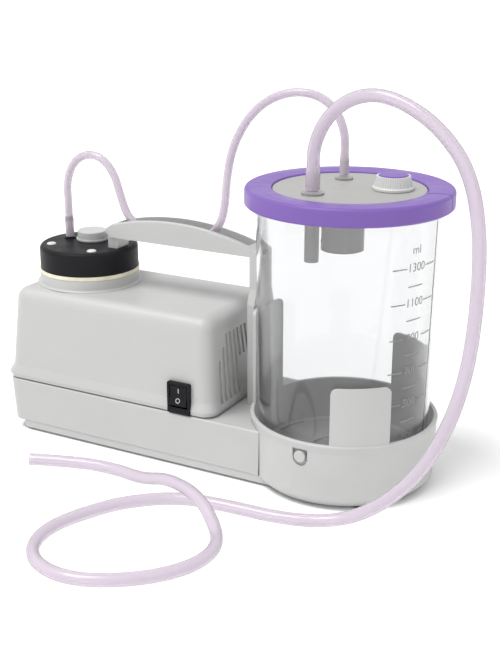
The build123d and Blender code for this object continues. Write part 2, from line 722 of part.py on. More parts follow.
def connecting_rod():
    """The rod from the crank up to the diaphragm, with an open big end."""
    rod = lying(16.5, PUMP_X - 3.5, PUMP_X + 3.5)
    rod += block(PUMP_X - 3.5, PUMP_X + 3.5, -5, 5, SHAFT_Z + 14, 111)
    rod += disc(9, 109.5, FLANGE_TOP, PUMP)
    rod -= lying(13.0, PUMP_X - 5, PUMP_X + 5)
    return rod - disc(1.7, 100, 115, PUMP)


def eccentric():
    """The crank disc, off centre by the throw."""
    wheel = lying(6.5, PUMP_X - 6, PUMP_X + 4, 0, SHAFT_Z + CRANK_THROW)
    return wheel - lying(SHAFT_RADIUS, PUMP_X - 10, PUMP_X + 10)


def crank_bearing():
    """The bearing on the crank disc that drives the rod."""
    outer = lying(9.5, PUMP_X - 3, PUMP_X + 3, 0, SHAFT_Z + CRANK_THROW)
    return outer - lying(6.5, PUMP_X - 5, PUMP_X + 5, 0, SHAFT_Z + CRANK_THROW)


def clamp_plate():
    """The disc over the diaphragm's middle, countersunk for its screw."""
    plate = disc(9, HEAD_BOTTOM, HEAD_BOTTOM + 1.2, PUMP)
    return plate - turned([(0, 114), (1.7, 114), (1.7, 115.2), (3.0, 116.5), (0, 116.5)], at=PUMP)


def clamp_screw():
    """The countersunk screw through clamp plate and diaphragm into the rod."""
    return turned([(0, 104), (1.6, 104), (1.6, 115.2), (2.6, 116.1), (0, 116.1)], at=PUMP)


parts["stator_core"] = stator_core()
parts["stator_coil"] = stator_coil()
parts["front_bracket"] = bracket(FRONT_BRACKET, -1)
parts["rear_bracket"] = bracket(REAR_BRACKET, 1)
parts["motor_mounts"] = motor_mounts()
parts["mount_screws"] = mount_screws()
parts["motor_bolts"] = motor_bolts()
parts["motor_spacers"] = motor_spacers()
parts["front_bearing"] = bearing(FRONT_BRACKET)
parts["rear_bearing"] = bearing(REAR_BRACKET)
parts["motor_shaft"] = lying(SHAFT_RADIUS, PUMP_X - 7, 6)
parts["rotor"] = lying(15.0, *CORE) - lying(SHAFT_RADIUS, -90, -30)
parts["fan"] = fan()
parts["eccentric"] = eccentric()
parts["crank_bearing"] = crank_bearing()
parts["connecting_rod"] = connecting_rod()
parts["clamp_plate"] = clamp_plate()
parts["clamp_screw"] = clamp_screw()


# ---- Jar and lid --------------------------------------------------------------------

JAR = (JAR_X, 0)
JAR_FOOT = CUP_FLOOR + 0.3
RIM_RADIUS = 59.5


def jar():
    """The clear jar: slightly wider at the top, with a rim that the collar grips."""
    outer_foot = (JAR_BOTTOM_RADIUS, JAR_FOOT)
    inner_foot = (JAR_BOTTOM_RADIUS - JAR_WALL, JAR_FOOT + 2.6)
    outline = [(0, JAR_FOOT), outer_foot, (JAR_TOP_RADIUS, JAR_RIM - 3), (RIM_RADIUS, JAR_RIM - 3),
               (RIM_RADIUS, JAR_RIM), (JAR_TOP_RADIUS - JAR_WALL, JAR_RIM), inner_foot,
               (0, JAR_FOOT + 2.6)]
    return turned(outline, {outer_foot: 5.0, inner_foot: 3.0}, JAR)


def lid_disc():
    """The pale disc of the lid, with a skirt in the jar's mouth and two port holes."""
    outline = [(0, 186), (53.5, 186), (53.5, 183), (55.2, 183), (55.2, 185), (59.4, 185),
               (59.4, 187.4), (COLLAR_OPENING - 0.3, 187.4), (COLLAR_OPENING - 0.3, LID_TOP), (0, LID_TOP)]
    plate = turned(outline, {(COLLAR_OPENING - 0.3, LID_TOP): 0.8}, JAR)
    for place in (PATIENT_PORT, VACUUM_PORT):
        plate -= disc(4.6, 180, 195, place)
    return plate - disc(6.0, 180, 195, SPOUT)


def lid_gasket():
    """The flat seal between the jar's rim and the lid."""
    return ring(59.2, 55.8, JAR_RIM, 185.0, JAR)


def collar():
    """The purple ring that clamps the lid to the jar."""
    outer_edge = (COLLAR_RADIUS, COLLAR_TOP - 0.2)
    inner_edge = (COLLAR_OPENING, COLLAR_TOP - 0.7)
    outline = [(60.0, COLLAR_BOTTOM), (63.6, COLLAR_BOTTOM), (COLLAR_RADIUS, COLLAR_BOTTOM + 1.0),
               outer_edge, (56, COLLAR_TOP), inner_edge, (COLLAR_OPENING, 187.7), (60.0, 187.7)]
    rim = turned(outline, {outer_edge: 2.4, inner_edge: 1.0}, JAR)
    groove = Rot(0, 0, 4) * block(40, 70, -0.45, 0.45, COLLAR_TOP - 0.9, 200)
    side_groove = Rot(0, 0, 4) * block(COLLAR_RADIUS - 0.7, 70, -0.45, 0.45, 170, 200)
    return rim - Pos(JAR_X, 0, 0) * groove - Pos(JAR_X, 0, 0) * side_groove


def lid_port(at, flange_radius, bore, stem_radius):
    """A tube stub moulded as a separate barb, standing on the lid."""
    outline = [(bore, 186), (4.5, 186), (4.5, LID_TOP), (flange_radius, LID_TOP),
               (flange_radius, LID_TOP + 1.4), (stem_radius, LID_TOP + 2.2),
               (stem_radius, PORT_TOP - 3), (stem_radius + 0.4, PORT_TOP - 3),
               (stem_radius - 0.3, PORT_TOP), (bore, PORT_TOP)]
    return turned(outline, at=at)


def float_cage():
    """The cylinder under the vacuum port that the float closes."""
    outer, inner, low, high = 14.0, 12.4, 145.0, 186.0
    cage = ring(outer, inner, low, high, VACUUM_PORT)
    cage += ring(outer, 8.0, low, low + 1.6, VACUUM_PORT)
    cage += ring(outer, 2.0, high - 1.6, high, VACUUM_PORT)
    for angle in (0, 60, 120):
        window = block(-4, 4, 0, 20, 150, 163)
        cage -= Pos(*VACUUM_PORT, 0) * Rot(0, 0, angle) * window
    return cage


def valve_float():
    """The float that rises with the liquid and shuts the vacuum port."""
    outline = [(0, 147.0), (9, 147.0), (10.6, 149), (10.6, 160), (9, 162), (4, 162), (3, 166), (0, 166)]
    return turned(outline, at=VACUUM_PORT)


def down_tube():
    """The tube that leads the patient's line down into the jar."""
    outline = [(2.7, 149), (4.4, 149), (4.4, 183), (6, 183), (6, 186), (2.7, 186)]
    return turned(outline, at=PATIENT_PORT)


def spout_cap():
    """The knurled conical cap over the lid's third opening."""
    outline = [(0, 187.5), (5.6, 187.5), (5.6, 190.3), (12.6, 190.3), (12.6, 191.7), (11.9, 192.3),
               (10.4, 198.6), (9.2, 198.6), (9.2, 197.4), (0, 197.4)]
    cap = turned(outline, at=SPOUT)
    slope = degrees(atan2(11.9 - 10.4, 198.6 - 192.3))
    for index in range(48):
        turn = Rot(0, 0, 360 * index / 48)
        flute = Pos(10.85, 0, 197.2) * Rot(0, -slope, 0) * Cylinder(0.42, 9)
        cap -= Pos(*SPOUT, 0) * turn * flute
    return cap


parts["jar"] = jar()
parts["lid_disc"] = lid_disc()
parts["lid_gasket"] = lid_gasket()
parts["collar"] = collar()
parts["patient_port"] = lid_port(PATIENT_PORT, 7.0, 2.4, 3.5)
parts["vacuum_port"] = lid_port(VACUUM_PORT, 5.8, 1.5, 2.3)
parts["float_cage"] = float_cage()
parts["valve_float"] = valve_float()
parts["down_tube"] = down_tube()
parts["spout_cap"] = spout_cap()
parts["cap_insert"] = turned([(0, 197.4), (9.0, 197.4), (9.0, 198.9), (8.4, 199.3), (0, 199.6)], at=SPOUT)


# ---- Hoses --------------------------------------------------------------------------

parts["suction_hose"] = cord("suction_hose", HOSE_ROUTE, HOSE_DIAMETER)
parts["link_tube"] = cord("link_tube", LINK_ROUTE, LINK_DIAMETER)


# ---- Output -------------------------------------------------------------------------

os.makedirs("parts", exist_ok=True)
for name, shape in parts.items():
    export_step(shape, "parts/" + name + ".step")
print(len(parts), "parts")
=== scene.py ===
import json
import math

import bpy
from mathutils import Euler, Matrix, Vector


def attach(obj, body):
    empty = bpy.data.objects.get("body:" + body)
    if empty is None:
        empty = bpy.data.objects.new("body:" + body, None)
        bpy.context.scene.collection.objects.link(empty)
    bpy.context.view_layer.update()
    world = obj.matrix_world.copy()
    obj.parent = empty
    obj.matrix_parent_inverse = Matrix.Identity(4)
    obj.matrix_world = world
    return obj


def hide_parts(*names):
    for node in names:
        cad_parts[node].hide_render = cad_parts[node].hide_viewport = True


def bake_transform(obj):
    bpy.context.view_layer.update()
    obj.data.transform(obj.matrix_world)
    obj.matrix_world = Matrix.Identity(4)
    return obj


# The looks of a portable suction pump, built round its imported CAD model.
# Lengths are in metres, except where a comment says millimetres. +X runs from the motor end to
# the jar, and the front faces -Y.

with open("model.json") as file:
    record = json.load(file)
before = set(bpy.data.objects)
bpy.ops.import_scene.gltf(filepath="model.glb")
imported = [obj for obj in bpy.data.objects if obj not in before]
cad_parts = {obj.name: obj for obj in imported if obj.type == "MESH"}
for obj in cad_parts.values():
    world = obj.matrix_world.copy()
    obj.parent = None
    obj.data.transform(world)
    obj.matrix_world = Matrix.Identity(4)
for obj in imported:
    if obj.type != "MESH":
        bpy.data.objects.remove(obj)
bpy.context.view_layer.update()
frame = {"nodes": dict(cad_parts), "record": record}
nodes = frame["nodes"]

MM = 0.001                          # turns millimetres into metres


# ---- The jar's wall, as the CAD model has it ----------------------------------------

JAR_AXIS_X = 0.089
JAR_FOOT_Z = 0.0143
JAR_SHOULDER_Z = 0.181
JAR_FOOT_RADIUS = 0.0546            # outside of the jar's wall at its foot
JAR_SHOULDER_RADIUS = 0.0577        # and under its rim


# ---- Camera -------------------------------------------------------------------------

CAMERA_PLACE = (0.3720, -0.6445, 0.3379)
CAMERA_YAW = 28.663                 # degrees to the left of +Y
CAMERA_PITCH = -19.013              # degrees below the horizon
CAMERA_LENS = 63.0                  # focal length in millimetres
CAMERA_SENSOR = 36.0                # millimetres along the picture's long side


def make_camera():
    """The camera, standing to the right of the machine's front and looking down at it."""
    data = bpy.data.cameras.new("camera")
    data.sensor_fit = "AUTO"
    data.sensor_width = CAMERA_SENSOR
    data.lens = CAMERA_LENS
    camera = bpy.data.objects.new("camera", data)
    bpy.context.scene.collection.objects.link(camera)
    camera.location = CAMERA_PLACE
    camera.rotation_euler = (math.radians(90 + CAMERA_PITCH), 0, math.radians(CAMERA_YAW))
    bpy.context.scene.camera = camera


make_camera()


# ---- Material helpers ---------------------------------------------------------------

class Surface:
    """A material under construction, with short ways to add and join its nodes."""

    def __init__(self, name):
        self.material = bpy.data.materials.new(name)
        self.material.use_nodes = True
        self.tree = self.material.node_tree
        self.shader = self.tree.nodes["Principled BSDF"]
        self.place = self.node("ShaderNodeTexCoord").outputs["Object"]

    def node(self, kind, **values):
        made = self.tree.nodes.new(kind)
        for name, value in values.items():
            setattr(made, name, value)
        return made

    def link(self, source, target):
        self.tree.links.new(source, target)

    def set(self, **values):
        """Constants, straight on the shader's own sockets."""
        for name, value in values.items():
            self.shader.inputs[name.replace("_", " ")].default_value = value

    def noise(self, scale, detail=3.0, stretch=(1, 1, 1), roughness=0.5):
        """A noise from 0 to 1 in the object's own space; scale is in cells per metre."""
        source = self.place
        if tuple(stretch) != (1, 1, 1):
            mapping = self.node("ShaderNodeMapping")
            mapping.inputs["Scale"].default_value = stretch
            self.link(source, mapping.inputs["Vector"])
            source = mapping.outputs["Vector"]
        made = self.node("ShaderNodeTexNoise")
        made.inputs["Scale"].default_value = scale
        made.inputs["Detail"].default_value = detail
        made.inputs["Roughness"].default_value = roughness
        self.link(source, made.inputs["Vector"])
        return made.outputs["Fac"]

    def bands(self, scale, distortion=0.0):
        """Waves across X, from 0 to 1; one wave is 0.314 / scale metres long."""
        made = self.node("ShaderNodeTexWave", wave_type="BANDS", bands_direction="X")
        made.inputs["Scale"].default_value = scale
        made.inputs["Distortion"].default_value = distortion
        self.link(self.place, made.inputs["Vector"])
        return made.outputs["Fac"]

    def ramp(self, source, stops):
        """A colour ramp over a 0 to 1 value; stops are (place, colour)."""
        made = self.node("ShaderNodeValToRGB")
        for (place, colour), element in zip(stops, made.color_ramp.elements):
            element.position = place
            element.color = (*colour, 1)
        self.link(source, made.inputs["Fac"])
        return made.outputs["Color"]

    def levels(self, source, low, high, start=0.3, end=0.7):
        """The value taken from start..end to low..high."""
        made = self.node("ShaderNodeMapRange")
        made.inputs["From Min"].default_value = start
        made.inputs["From Max"].default_value = end
        made.inputs["To Min"].default_value = low
        made.inputs["To Max"].default_value = high
        self.link(source, made.inputs["Value"])
        return made.outputs["Result"]

    def mix(self, share, first, second):
        """Two colours mixed by a share; a colour is a socket or three numbers."""
        made = self.node("ShaderNodeMix", data_type="RGBA")
        self.link(share, made.inputs["Factor"])
        # The node's colour sockets share their names with others, so they go by number.
        for key, colour in ((6, first), (7, second)):
            if isinstance(colour, tuple):
                made.inputs[key].default_value = (*colour, 1)
            else:
                self.link(colour, made.inputs[key])
        return made.outputs[2]

    def bump(self, height, depth, normal=None):
        """A bump of that depth in metres, on top of another normal."""
        made = self.node("ShaderNodeBump")
        made.inputs["Strength"].default_value = 1.0
        made.inputs["Distance"].default_value = depth
        self.link(height, made.inputs["Height"])
        if normal is not None:
            self.link(normal, made.inputs["Normal"])
        return made.outputs["Normal"]

    def edges(self, radius):
        """How near a convex or concave edge a point is, 0 to 1, and the rounded normal there."""
        rounded = self.node("ShaderNodeBevel", samples=4)
        rounded.inputs["Radius"].default_value = radius
        flat = self.node("ShaderNodeNewGeometry")
        alike = self.node("ShaderNodeVectorMath", operation="DOT_PRODUCT")
        self.link(rounded.outputs["Normal"], alike.inputs[0])
        self.link(flat.outputs["Normal"], alike.inputs[1])
        near = self.levels(alike.outputs["Value"], 1.0, 0.0, 0.80, 1.0)
        return near, rounded.outputs["Normal"]


def moulded(name, colour, roughness, grain=0.012 * MM, spread=0.06, edge=0.4 * MM, coat=0.0,
            refraction=1.49):
    """Moulded plastic: slow colour change, fine spark grain, handling marks, paler edges.

    grain is the depth of the grain, spread the share by which the colour varies, and edge the
    width of the worn edges, or None for none."""
    surface = Surface(name)
    cloud = surface.noise(scale=9.0, detail=4.0)
    darker = tuple(channel * (1 - spread) for channel in colour)
    base = surface.ramp(cloud, [(0.3, darker), (0.7, colour)])
    rounded = None
    if edge is not None:
        near, rounded = surface.edges(edge)
        paler = tuple(min(1.0, channel * 1.12 + 0.01) for channel in colour)
        base = surface.mix(near, base, paler)
    surface.link(base, surface.shader.inputs["Base Color"])
    smudge = surface.noise(scale=60.0, detail=5.0, roughness=0.65)
    surface.link(surface.levels(smudge, roughness - 0.06, roughness + 0.1),
                 surface.shader.inputs["Roughness"])
    fine = surface.noise(scale=1500.0, detail=2.0)
    surface.link(surface.bump(fine, grain, rounded), surface.shader.inputs["Normal"])
    surface.set(Coat_Weight=coat, Coat_Roughness=0.25, IOR=refraction)
    return surface.material


RUBBER_GRAIN = 0.02 * MM            # depths of the bumps
DRAWN_LINES = 0.01 * MM
MOULDING_WAVES = 0.01 * MM
SHEET_STEPS = 0.06 * MM
WIRE_STEPS = 0.2 * MM


def rubbery(name, colour, roughness=0.7):
    """Rubber: dull, with a fine bloom and a soft grain."""
    surface = Surface(name)
    bloom = surface.noise(scale=120.0, detail=5.0)
    paler = tuple(channel * 1.25 + 0.01 for channel in colour)
    surface.link(surface.ramp(bloom, [(0.35, colour), (0.75, paler)]),
                 surface.shader.inputs["Base Color"])
    surface.link(surface.levels(bloom, roughness - 0.1, roughness + 0.12),
                 surface.shader.inputs["Roughness"])
    fine = surface.noise(scale=900.0)
    surface.link(surface.bump(fine, RUBBER_GRAIN), surface.shader.inputs["Normal"])
    return surface.material


def metal(name, colour, roughness=0.3):
    """Machined metal: fine drawn lines and a little tarnish."""
    surface = Surface(name)
    tarnish = surface.noise(scale=70.0, detail=5.0)
    darker = tuple(channel * 0.78 for channel in colour)
    surface.link(surface.ramp(tarnish, [(0.3, darker), (0.65, colour)]),
                 surface.shader.inputs["Base Color"])
    lines = surface.noise(scale=160.0, detail=4.0, stretch=(1, 12, 12))
    surface.link(surface.levels(lines, roughness - 0.1, roughness + 0.15),
                 surface.shader.inputs["Roughness"])
    surface.link(surface.bump(lines, DRAWN_LINES), surface.shader.inputs["Normal"])
    surface.set(Metallic=1.0)
    return surface.material


def clear(name, colour, roughness, refraction, haze, passing_share=1.0, painted_rim_shade=0.2):
    """Clear plastic that lets lamps through, with slight haze and moulding waves.

    passing_share is 1 for clear and nearer 0 for milky plastic. painted_rim_shade is how much
    painted shade darkens the colour where the plastic is seen edge on, standing in for the dark
    edges that refraction and shading give it."""
    surface = Surface(name)
    surface.set(Transmission_Weight=passing_share, IOR=refraction)
    # Painted shade: the base colour darkens where the surface is seen edge on.
    facing = surface.node("ShaderNodeLayerWeight").outputs["Facing"]
    rim = tuple(channel * (1 - painted_rim_shade) for channel in colour)
    surface.link(surface.ramp(facing, [(0.45, colour), (0.95, rim)]),
                 surface.shader.inputs["Base Color"])
    marks = surface.noise(scale=45.0, detail=5.0, roughness=0.6)
    surface.link(surface.levels(marks, roughness, roughness + haze),
                 surface.shader.inputs["Roughness"])
    waves = surface.noise(scale=55.0, detail=2.0)
    surface.link(surface.bump(waves, MOULDING_WAVES), surface.shader.inputs["Normal"])
    ray = surface.node("ShaderNodeLightPath")
    passing = surface.node("ShaderNodeBsdfTransparent")
    passing.inputs["Color"].default_value = (1, 1, 1, 1)
    either = surface.node("ShaderNodeMixShader")
    unseen = surface.node("ShaderNodeMath", operation="MAXIMUM")
    surface.link(ray.outputs["Is Shadow Ray"], unseen.inputs[0])
    surface.link(ray.outputs["Is Diffuse Ray"], unseen.inputs[1])
    surface.link(unseen.outputs["Value"], either.inputs["Fac"])
    surface.link(surface.shader.outputs["BSDF"], either.inputs[1])
    surface.link(passing.outputs["BSDF"], either.inputs[2])
    surface.link(either.outputs["Shader"], surface.tree.nodes["Material Output"].inputs["Surface"])
    return surface.material


def laminated(name, colour):
    """A stack of thin oiled sheets lying across X."""
    surface = Surface(name)
    sheets = surface.bands(scale=320.0, distortion=0.4)
    darker = tuple(channel * 0.5 for channel in colour)
    surface.link(surface.ramp(sheets, [(0.2, darker), (0.6, colour)]),
                 surface.shader.inputs["Base Color"])
    surface.link(surface.bump(sheets, SHEET_STEPS), surface.shader.inputs["Normal"])
    oil = surface.noise(scale=90.0)
    surface.link(surface.levels(oil, 0.35, 0.55), surface.shader.inputs["Roughness"])
    surface.set(Metallic=0.8)
    return surface.material


def wound(name, colour):
    """Enamelled wire wound across X."""
    surface = Surface(name)
    wires = surface.bands(scale=520.0)
    darker = tuple(channel * 0.45 for channel in colour)
    surface.link(surface.ramp(wires, [(0.1, darker), (0.7, colour)]),
                 surface.shader.inputs["Base Color"])
    surface.link(surface.bump(wires, WIRE_STEPS), surface.shader.inputs["Normal"])
    enamel = surface.noise(scale=200.0)
    surface.link(surface.levels(enamel, 0.25, 0.4), surface.shader.inputs["Roughness"])
    surface.set(Metallic=0.6, Coat_Weight=0.5)
    return surface.material


MATERIALS = {
    "housing_grey": moulded("housing_grey", (0.46, 0.46, 0.456), 0.42, coat=0.1),
    "black_plastic": moulded("black_plastic", (0.016, 0.016, 0.018), 0.38, spread=0.2,
                             refraction=1.16),
    "purple_plastic": moulded("purple_plastic", (0.185, 0.105, 0.375), 0.34, grain=0.004 * MM,
                              edge=None, refraction=1.28),
    "lid_grey": moulded("lid_grey", (0.355, 0.353, 0.343), 0.5, edge=None, refraction=1.3),
    "white_plastic": moulded("white_plastic", (0.60, 0.60, 0.59), 0.40),
    "clear_jar": clear("clear_jar", (0.815, 0.818, 0.822), 0.01, 1.38, haze=0.03, painted_rim_shade=0.3),
    "clear_plastic": clear("clear_plastic", (0.36, 0.355, 0.36), 0.25, 1.3, haze=0.1,
                           passing_share=0.35),
    "clear_tube": clear("clear_tube", (0.64, 0.575, 0.645), 0.10, 1.36, haze=0.08,
                        passing_share=0.55, painted_rim_shade=0.55),
    "rubber": rubbery("rubber", (0.03, 0.03, 0.032)),
    "cream_rubber": rubbery("cream_rubber", (0.66, 0.62, 0.48), 0.6),
    "steel": metal("steel", (0.58, 0.58, 0.57)),
    "brass": metal("brass", (0.72, 0.52, 0.22)),
    "aluminium": metal("aluminium", (0.68, 0.69, 0.70), 0.45),
    "laminated_iron": laminated("laminated_iron", (0.30, 0.30, 0.31)),
    "copper_winding": wound("copper_winding", (0.60, 0.22, 0.07)),
}
JAR_INK = rubbery("jar_ink", (0.20, 0.20, 0.20), 0.55)
ROCKER_INK = rubbery("rocker_ink", (0.50, 0.50, 0.49), 0.5)


def dress(piece, slot, finish=None):
    """Gives a piece the material of its slot, or a finish of its own."""
    piece.data.materials.clear()
    piece.data.materials.append(finish or MATERIALS[slot])


for part in frame["record"]["subparts"]:
    dress(nodes[part["node"]], part["material_slot"])


# ---- Hoses --------------------------------------------------------------------------

# The suction hose: up from the patient port, over to the right, down in front of the cup,
# along the floor, round one loose loop and over itself to its cut end. In millimetres.
HOSE_ROUTE = [
    (77.5, -28, 193), (77.5, -28, 204), (77.5, -28, 219), (85, -28, 235.5), (99, -28.5, 247.5),
    (116.5, -30, 252), (137, -32, 247.5), (159, -35.5, 235), (177, -39, 214.5), (187, -46, 184),
    (190.5, -54, 146), (189.5, -61, 108), (182, -67, 74), (166, -70.5, 42), (141, -71, 16),
    (117, -75, 4), (88, -86, 4), (50, -87, 4), (18, -92, 4), (-8, -114, 4), (-20, -137, 4),
    (-27, -157, 4), (-26, -177, 4), (-15.5, -193.5, 4), (2, -202, 4), (23, -201.5, 4),
    (43, -191, 4), (60, -176, 4), (71, -157, 4), (72, -136, 4), (61, -116.5, 4),
    (40, -100.5, 13.5), (10, -88.5, 13.5), (-15, -81, 4), (-38, -77, 4), (-68, -80.5, 4),
    (-97.5, -92, 4),
]
HOSE_DIAMETER = 8 * MM
HOSE_BORE = 5 * MM

# The vacuum tube: from the pump head's barb over and down into the groove of the handle,
# along the groove, and up and over to the vacuum port on the lid. In millimetres.
LINK_ROUTE = [
    (-128, 3, 133), (-128, 3, 147), (-128, 3, 158), (-128.3, 3, 171.5), (-122.8, 3, 185.5),
    (-111, 3, 193.2), (-97, 3, 191.6), (-87.6, 3, 181), (-83.5, 3, 168), (-78.5, 2.5, 154.5),
    (-69, 2, 146.5), (-56, 1.5, 144.4), (-40, 0, 144.3), (-24, 1, 144.4), (-12, 1.8, 147.5),
    (-3.5, 2.5, 156), (-0.5, 3, 168.5), (0.5, 3.5, 185), (3, 5, 203), (9, 8.5, 219.5),
    (20, 12, 234), (36, 16, 242.5), (54, 19.5, 243), (68, 21.5, 235), (75.4, 21.8, 220),
    (75.4, 21.8, 204), (75.4, 21.8, 193),
]
LINK_DIAMETER = 5.5 * MM
LINK_BORE = 3.3 * MM

SLEEVE_TAPER = 2.5 * MM             # over which a stretched end narrows to the plain tube


def smooth_line(name, route):
    """Points along the NURBS spline whose control points are the route."""
    curve = bpy.data.curves.new(name, "CURVE")
    curve.dimensions = "3D"
    spline = curve.splines.new("NURBS")
    spline.points.add(len(route) - 1)
    for point, place in zip(spline.points, route):
        point.co = (*(Vector(place) * MM), 1)
    spline.order_u = 3
    spline.use_endpoint_u = True
    spline.resolution_u = 10
    carrier = bpy.data.objects.new(name, curve)
    bpy.context.scene.collection.objects.link(carrier)
    bpy.context.view_layer.update()
    mesh = bpy.data.meshes.new_from_object(carrier)
    line = [vertex.co.copy() for vertex in mesh.vertices]
    bpy.data.objects.remove(carrier)
    bpy.data.curves.remove(curve)
    bpy.data.meshes.remove(mesh)
    return line


def carried_frames(line):
    """For each point of a line, two directions across it that turn as little as they can."""
    frames = []
    side = Vector((0, 1, 0))
    for index, point in enumerate(line):
        ahead = line[min(index + 1, len(line) - 1)] - line[max(index - 1, 0)]
        ahead.normalize()
        side = (side - ahead * side.dot(ahead)).normalized()
        frames.append((side, ahead.cross(side)))
    return frames


def tube_mesh(name, line, outer, inner, around=28):
    """A hollow tube along a line. outer and inner give the radii at each point."""
    vertices = []
    for (side, up), point, large, small in zip(carried_frames(line), line, outer, inner):
        for radius in (large, small):
            for step in range(around):
                angle = math.tau * step / around
                vertices.append(point + radius * (math.cos(angle) * side + math.sin(angle) * up))
    faces = []
    row = 2 * around
    for index in range(len(line) - 1):
        for step in range(around):
            after = (step + 1) % around
            low, high = index * row, (index + 1) * row
            faces.append((low + step, low + after, high + after, high + step))
            low, high = low + around, high + around
            faces.append((low + after, low + step, high + step, high + after))
    for step in range(around):
        after = (step + 1) % around
        faces.append((step, around + step, around + after, after))
        last = (len(line) - 1) * row
        faces.append((last + after, last + around + after, last + around + step, last + step))
    return mesh_piece(name, vertices, faces)


def mesh_piece(name, vertices, faces, sharp=40):
    """A new mesh object with smooth shading that breaks at edges sharper than that."""
    mesh = bpy.data.meshes.new(name)
    mesh.from_pydata([tuple(vertex) for vertex in vertices], [], faces)
    mesh.update()
    mesh.shade_smooth()
    mesh.set_sharp_from_angle(angle=math.radians(sharp))
    piece = bpy.data.objects.new(name, mesh)
    bpy.context.scene.collection.objects.link(piece)
    return piece


def radii(line, plain, sleeves):
    """The radius at each point: plain, or changed where the tube is pushed over a stub.

    sleeves are (end point, length, radius there)."""
    found = []
    for point in line:
        radius = plain
        for end, length, wide in sleeves:
            past = (point - end).length - length
            share = 1 - min(1.0, max(0.0, past / SLEEVE_TAPER))
            radius += (wide - plain) * share * share * (3 - 2 * share)
        found.append(radius)
    return found


def make_hose(name, node, route, diameter, bore, sleeves):
    """One clear tube along its curved route between the machine and the jar, in place of its CAD
    node.
    """
    line = smooth_line(name, route)
    inner = radii(line, bore / 2,
                  [(line[place], reach, inside) for place, reach, inside, _ in sleeves])
    outer = radii(line, diameter / 2,
                  [(line[place], reach, outside) for place, reach, _, outside in sleeves])
    hose = tube_mesh(name, line, outer, inner)
    dress(hose, "clear_tube")
    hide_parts(node)
    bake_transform(hose)


# Ends that are pushed over a stub: place in the line, length, inner radius, outer radius.
PATIENT_SLEEVE = (0, 10 * MM, 3.55 * MM, 4.35 * MM)
BARB_SLEEVE = (0, 12 * MM, 2.35 * MM, 3.1 * MM)
VACUUM_SLEEVE = (-1, 10 * MM, 2.35 * MM, 3.15 * MM)

make_hose("suction_hose_tube", "suction_hose", HOSE_ROUTE, HOSE_DIAMETER, HOSE_BORE,
          [PATIENT_SLEEVE])
make_hose("link_tube_tube", "link_tube", LINK_ROUTE, LINK_DIAMETER, LINK_BORE,
          [BARB_SLEEVE, VACUUM_SLEEVE])


# ---- Printed marks ------------------------------------------------------------------

HUNDRED_HEIGHTS = {3: 43.6, 4: 54.4, 5: 66.1, 6: 76.5, 7: 87.3, 8: 97.7, 9: 108.5, 10: 119.6,
                   11: 130.4, 12: 140.7, 13: 152.1}     # hundreds of millilitres: height in mm
UNIT_HEIGHT = 162.8
LEFT_TICKS, DIGITS, RIGHT_TICKS = 56.0, 68.8, 82.0      # middles, in degrees from -Y towards +X
DIGIT_SIZE = 7.4 * MM
TICK_LENGTH = 10 * MM
PLAIN_LINE_LENGTH = 12 * MM
LINE_WIDTH = 0.75 * MM
INK_THICKNESS = 0.05 * MM
INK_LIFT = 0.09 * MM                # from the jar's wall to the middle of the ink


def jar_radius(z):
    """The outer radius of the jar's slightly flared wall at a height."""
    share = (z - JAR_FOOT_Z) / (JAR_SHOULDER_Z - JAR_FOOT_Z)
    return JAR_FOOT_RADIUS + share * (JAR_SHOULDER_RADIUS - JAR_FOOT_RADIUS)


def lettering(words, size):
    """Vertices and faces of a word in the XY plane, centred, with a little thickness in Z."""
    curve = bpy.data.curves.new("word", "FONT")
    curve.body = words
    curve.size = size
    curve.align_x = "CENTER"
    curve.align_y = "CENTER"
    curve.extrude = INK_THICKNESS / 2
    carrier = bpy.data.objects.new("word", curve)
    bpy.context.scene.collection.objects.link(carrier)
    bpy.context.view_layer.update()
    mesh = bpy.data.meshes.new_from_object(carrier)
    vertices = [vertex.co.copy() for vertex in mesh.vertices]
    faces = [tuple(face.vertices) for face in mesh.polygons]
    bpy.data.objects.remove(carrier)
    bpy.data.curves.remove(curve)
    bpy.data.meshes.remove(mesh)
    return vertices, faces


def bar(length, height, steps=12):
    """Vertices and faces of a flat bar along X, cut into short steps so that it can bend."""
    vertices = []
    for step in range(steps + 1):
        x = (step / steps - 0.5) * length
        for y, z in ((-1, -1), (1, -1), (1, 1), (-1, 1)):
            vertices.append(Vector((x, y * height / 2, z * INK_THICKNESS / 2)))
    faces = [(3, 2, 1, 0), tuple(4 * steps + corner for corner in range(4))]
    for step in range(steps):
        for corner in range(4):
            near, after = 4 * step + corner, 4 * step + (corner + 1) % 4
            faces.append((near, after, after + 4, near + 4))
    return vertices, faces


def wrapped(vertices, azimuth, z):
    """Flat marks bent round the jar, with their middle at that azimuth and height."""
    placed = []
    for flat in vertices:
        height = z + flat.y
        radius = jar_radius(height) + INK_LIFT + flat.z
        angle = math.radians(azimuth) + flat.x / jar_radius(z)
        placed.append(Vector((JAR_AXIS_X + radius * math.sin(angle),
                              -radius * math.cos(angle), height)))
    return placed


def joined(name, shapes):
    """One mesh object out of several (vertices, faces)."""
    vertices, faces = [], []
    for some_vertices, some_faces in shapes:
        first = len(vertices)
        vertices += some_vertices
        faces += [tuple(first + corner for corner in face) for face in some_faces]
    return mesh_piece(name, vertices, faces)


